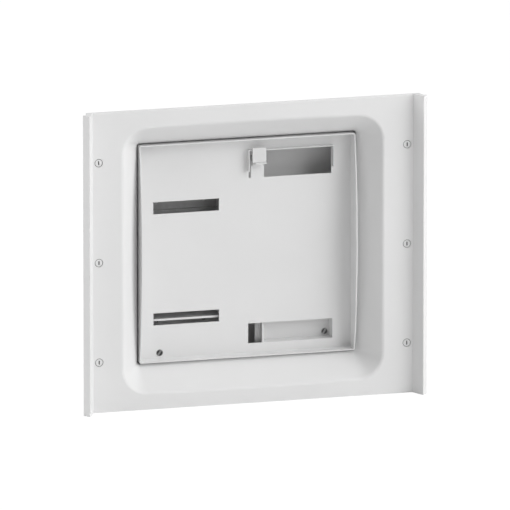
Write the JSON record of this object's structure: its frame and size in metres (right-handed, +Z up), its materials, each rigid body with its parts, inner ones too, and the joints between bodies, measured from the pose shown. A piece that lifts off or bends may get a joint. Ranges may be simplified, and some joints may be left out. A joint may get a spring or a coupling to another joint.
{
  "type": "distribution board",
  "caption": "Recessed distribution board: ribbed front frame with quarter-turn studs, tray-shaped device cover with window, slots and pocket, and a rear housing with a mounting plate.",
  "frame": {"origin": "centre of the stud pattern, on the back of the face plate", "axes": "+X to the right across the front, +Y to the back along the studs, +Z up"},
  "size_m": [0.5798, 0.1553, 0.501],
  "materials": {
    "frame_moulding": "fine satin",
    "cover_moulding": "fine satin",
    "latch_moulding": "satin",
    "stud_steel": "painted face on dark steel",
    "lock_steel": "dark passivated",
    "washer_rubber": "matt",
    "spring_steel": "bare",
    "housing_paint": "powder coat",
    "zinc_screws": "zinc plated",
    "plate_paint": "powder coat",
    "rail_steel": "zinc plated",
    "shelf_paint": "powder coat",
    "grommet_rubber": "matt",
    "earth_brass": "bare"
  },
  "bodies": {
    "board": {"front_frame": "frame_moulding", "device_cover": "cover_moulding", "cover_rim": "cover_moulding", "pocket_tray": "cover_moulding", "stud_washers": "washer_rubber", "stud_retainers": "spring_steel", "housing_left": "housing_paint", "housing_right": "housing_paint", "housing_top": "housing_paint", "housing_bottom": "housing_paint", "housing_back": "housing_paint", "housing_screws": "zinc_screws", "top_grommets": "grommet_rubber", "bottom_grommets": "grommet_rubber", "mounting_plate": "plate_paint", "plate_standoffs": "rail_steel", "plate_screws": "zinc_screws", "terminal_rail": "rail_steel", "rail_screws": "zinc_screws", "terminal_shelf": "shelf_paint", "shelf_screws": "zinc_screws", "earth_stud": "earth_brass", "earth_nut": "earth_brass"},
    "latch": {"latch_slider": "latch_moulding"},
    "cover_lock": {"cover_lock": "lock_steel"},
    "tray_lock": {"tray_lock": "lock_steel"},
    "stud_left_top": {"panel_stud_left_top": "stud_steel"},
    "stud_left_middle": {"panel_stud_left_middle": "stud_steel"},
    "stud_left_bottom": {"panel_stud_left_bottom": "stud_steel"},
    "stud_right_top": {"panel_stud_right_top": "stud_steel"},
    "stud_right_middle": {"panel_stud_right_middle": "stud_steel"},
    "stud_right_bottom": {"panel_stud_right_bottom": "stud_steel"}
  },
  "joints": [
    {"name": "latch_slide", "type": "slide", "parent": "board", "child": "latch", "axis": [0, 0, -1], "range_m": [0, 0.0075]},
    {"name": "cover_lock_turn", "type": "hinge", "parent": "board", "child": "cover_lock", "pos_m": [-0.1428, 0.058, -0.1715], "axis": [0, 1, 0], "range_deg": [0, 90]},
    {"name": "tray_lock_turn", "type": "hinge", "parent": "board", "child": "tray_lock", "pos_m": [0.1428, 0.08, -0.1584], "axis": [0, 1, 0], "range_deg": [0, 90]},
    {"name": "stud_left_top_turn", "type": "hinge", "parent": "board", "child": "stud_left_top", "pos_m": [-0.26, 0, 0.1665], "axis": [0, 1, 0], "range_deg": [0, 90]},
    {"name": "stud_left_middle_turn", "type": "hinge", "parent": "board", "child": "stud_left_middle", "pos_m": [-0.26, 0, 0], "axis": [0, 1, 0], "range_deg": [0, 90]},
    {"name": "stud_left_bottom_turn", "type": "hinge", "parent": "board", "child": "stud_left_bottom", "pos_m": [-0.26, 0, -0.1665], "axis": [0, 1, 0], "range_deg": [0, 90]},
    {"name": "stud_right_top_turn", "type": "hinge", "parent": "board", "child": "stud_right_top", "pos_m": [0.26, 0, 0.1665], "axis": [0, 1, 0], "range_deg": [0, 90]},
    {"name": "stud_right_middle_turn", "type": "hinge", "parent": "board", "child": "stud_right_middle", "pos_m": [0.26, 0, 0], "axis": [0, 1, 0], "range_deg": [0, 90]},
    {"name": "stud_right_bottom_turn", "type": "hinge", "parent": "board", "child": "stud_right_bottom", "pos_m": [0.26, 0, -0.1665], "axis": [0, 1, 0], "range_deg": [0, 90]}
  ]
}
